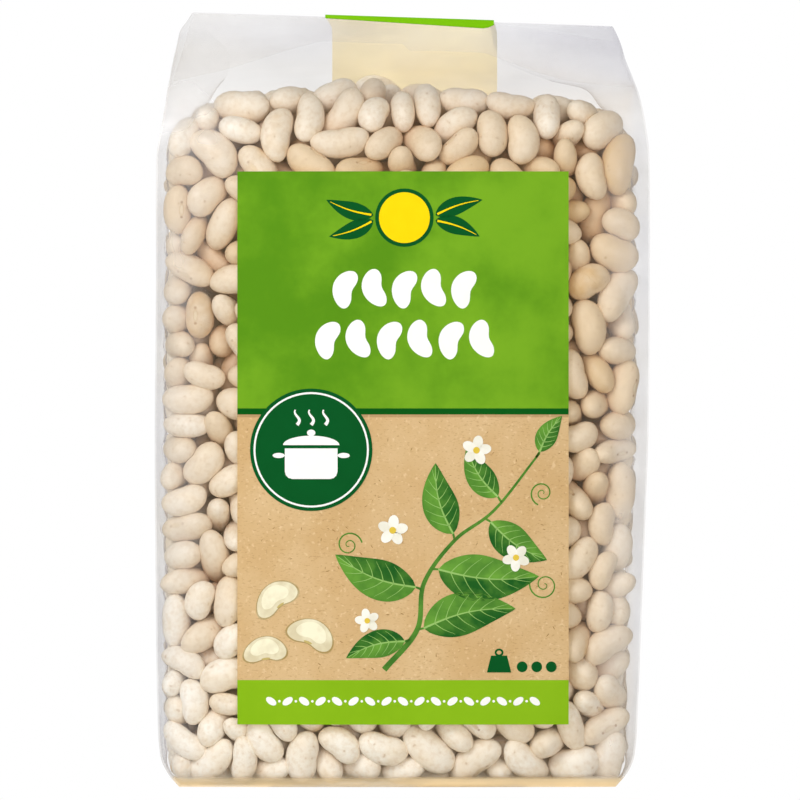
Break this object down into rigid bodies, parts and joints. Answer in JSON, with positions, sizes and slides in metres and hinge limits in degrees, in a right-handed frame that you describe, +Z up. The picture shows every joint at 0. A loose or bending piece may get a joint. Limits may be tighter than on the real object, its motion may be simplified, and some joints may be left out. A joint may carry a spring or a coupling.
{
  "type": "clear bag of dried white beans",
  "caption": "Clear film bag of dried white beans standing on its flat block bottom, with pinched sides, a folded top, a front label and a narrow closing label.",
  "frame": {"origin": "middle of the bag's footprint, on the surface that the bag stands on", "axes": "+Z up along the bag's height, +X to the right when looking at the front label, +Y towards the back; the front label faces -Y"},
  "size_m": [0.1055, 0.052, 0.165],
  "materials": {
    "beans_in_film": "ivory dried beans seen through thin, clear, glossy film",
    "printed_paper": "printed paper with a satin face, in greens and kraft brown",
    "closing_paper": "printed paper with a satin face outside, cream paper inside"
  },
  "bodies": {
    "root": {"bag": "beans_in_film", "front_label": "printed_paper", "closing_label": "closing_paper"}
  },
  "joints": []
}
